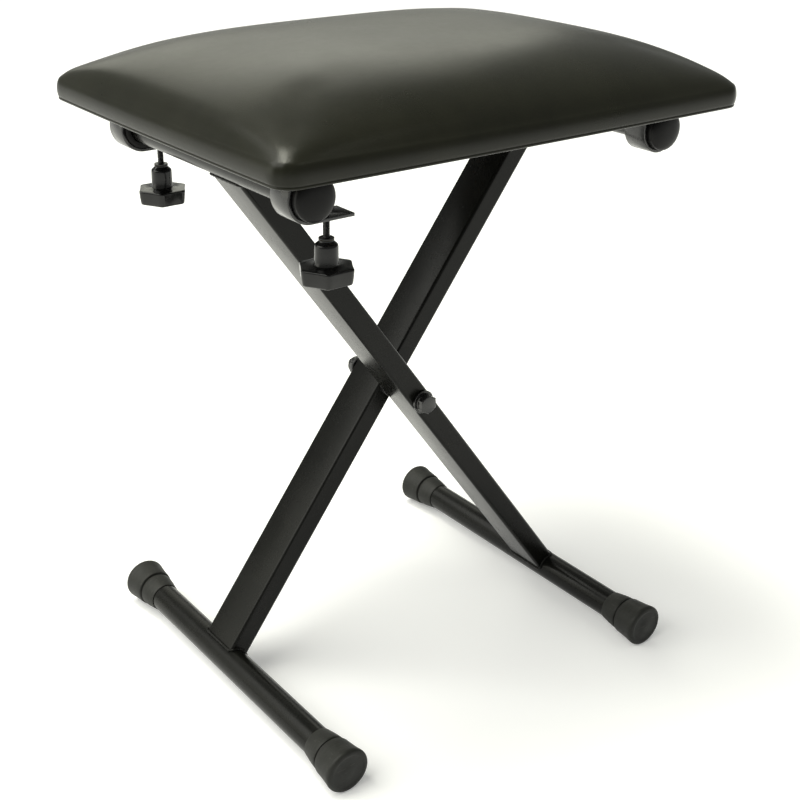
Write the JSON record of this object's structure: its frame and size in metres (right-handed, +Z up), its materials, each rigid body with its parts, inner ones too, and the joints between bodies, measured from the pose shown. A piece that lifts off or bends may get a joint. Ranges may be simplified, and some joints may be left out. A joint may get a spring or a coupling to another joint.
{
  "type": "piano bench",
  "caption": "Padded rectangular bench seat on a folding crossed-leg tube frame, with clamp knobs under one end and capped floor tubes.",
  "frame": {"origin": "on the floor, under the middle of the bench's bounding box", "axes": "+Z up, +X along the seat's long side, +Y along its short side and along the leg pivot bolt"},
  "size_m": [0.426, 0.336, 0.5362],
  "materials": {
    "powder_coat": "satin black powder coat",
    "cap_rubber": "matt black rubber",
    "sleeve_plastic": "satin black plastic",
    "knob_plastic": "glossy black plastic",
    "black_steel": "glossy black plated steel",
    "zinc_steel": "bright zinc plated",
    "brass": "turned",
    "vinyl": "smooth satin black vinyl",
    "foam": "open cell foam",
    "plywood": "raw plywood",
    "dust_cloth": "non-woven black cloth"
  },
  "bodies": {
    "rear_frame": {"rear_leg": "powder_coat", "rear_leg_bush": "zinc_steel", "left_foot": "powder_coat", "left_foot_cap_near": "cap_rubber", "left_foot_cap_far": "cap_rubber", "right_cross_tube": "powder_coat", "right_cross_tube_sleeve_near": "sleeve_plastic", "right_cross_tube_sleeve_far": "sleeve_plastic", "pivot_bolt": "black_steel", "pivot_nut": "black_steel", "pivot_spacer": "black_steel", "pivot_washer_near": "black_steel", "pivot_washer_far": "black_steel"},
    "front_frame": {"front_leg": "powder_coat", "front_leg_bush": "zinc_steel", "right_foot": "powder_coat", "right_foot_cap_near": "cap_rubber", "right_foot_cap_far": "cap_rubber", "left_cross_tube": "powder_coat", "left_cross_tube_sleeve_near": "sleeve_plastic", "left_cross_tube_sleeve_far": "sleeve_plastic"},
    "seat": {"seat_board": "plywood", "seat_foam": "foam", "seat_cover": "vinyl", "dust_cloth": "dust_cloth", "seat_rail_near": "black_steel", "seat_saddle_near": "black_steel", "seat_rail_far": "black_steel", "seat_saddle_far": "black_steel", "rail_screw_near_1": "zinc_steel", "rail_screw_near_2": "zinc_steel", "rail_screw_far_1": "zinc_steel", "rail_screw_far_2": "zinc_steel", "saddle_screw_near_1": "zinc_steel", "saddle_screw_near_2": "zinc_steel", "saddle_screw_far_1": "zinc_steel", "saddle_screw_far_2": "zinc_steel"},
    "clamp_near": {"hook_plate_near": "black_steel", "clamp_bolt_near": "black_steel"},
    "washer_near": {"knob_washer_near": "black_steel"},
    "knob_near": {"clamp_knob_near": "knob_plastic", "knob_insert_near": "brass"},
    "clamp_far": {"hook_plate_far": "black_steel", "clamp_bolt_far": "black_steel"},
    "washer_far": {"knob_washer_far": "black_steel"},
    "knob_far": {"clamp_knob_far": "knob_plastic", "knob_insert_far": "brass"}
  },
  "joints": [
    {"name": "leg_fold", "type": "hinge", "parent": "rear_frame", "child": "front_frame", "pos_m": [0, 0, 0.23975], "axis": [0, 1, 0], "range_deg": [0, 55]},
    {"name": "seat_tilt", "type": "hinge", "parent": "rear_frame", "child": "seat", "pos_m": [0.164, 0, 0.461], "axis": [0, 1, 0], "range_deg": [0, 27.5]},
    {"name": "clamp_near_swing", "type": "hinge", "parent": "front_frame", "child": "clamp_near", "pos_m": [-0.164, -0.116, 0.461], "axis": [0, 1, 0], "range_deg": [-27.5, 0]},
    {"name": "knob_near_rise", "type": "slide", "parent": "clamp_near", "child": "washer_near", "axis": [0, 0, 1], "range_m": [0, 0.014]},
    {"name": "knob_near_turn", "type": "hinge", "parent": "washer_near", "child": "knob_near", "pos_m": [-0.1454, -0.116, 0.412], "axis": [0, 0, 1], "range_deg": [0, 6300]},
    {"name": "clamp_far_swing", "type": "hinge", "parent": "front_frame", "child": "clamp_far", "pos_m": [-0.164, 0.116, 0.461], "axis": [0, 1, 0], "range_deg": [-27.5, 0]},
    {"name": "knob_far_rise", "type": "slide", "parent": "clamp_far", "child": "washer_far", "axis": [0, 0, 1], "range_m": [0, 0.014]},
    {"name": "knob_far_turn", "type": "hinge", "parent": "washer_far", "child": "knob_far", "pos_m": [-0.1454, 0.116, 0.412], "axis": [0, 0, 1], "range_deg": [0, 6300]}
  ],
  "couplings": [
    {"joint": "seat_tilt", "follows": "leg_fold", "ratio": 0.5},
    {"joint": "clamp_near_swing", "follows": "leg_fold", "ratio": -0.5},
    {"joint": "knob_near_rise", "follows": "knob_near_turn", "m_per_rad": 0.00012732},
    {"joint": "clamp_far_swing", "follows": "leg_fold", "ratio": -0.5},
    {"joint": "knob_far_rise", "follows": "knob_far_turn", "m_per_rad": 0.00012732}
  ]
}
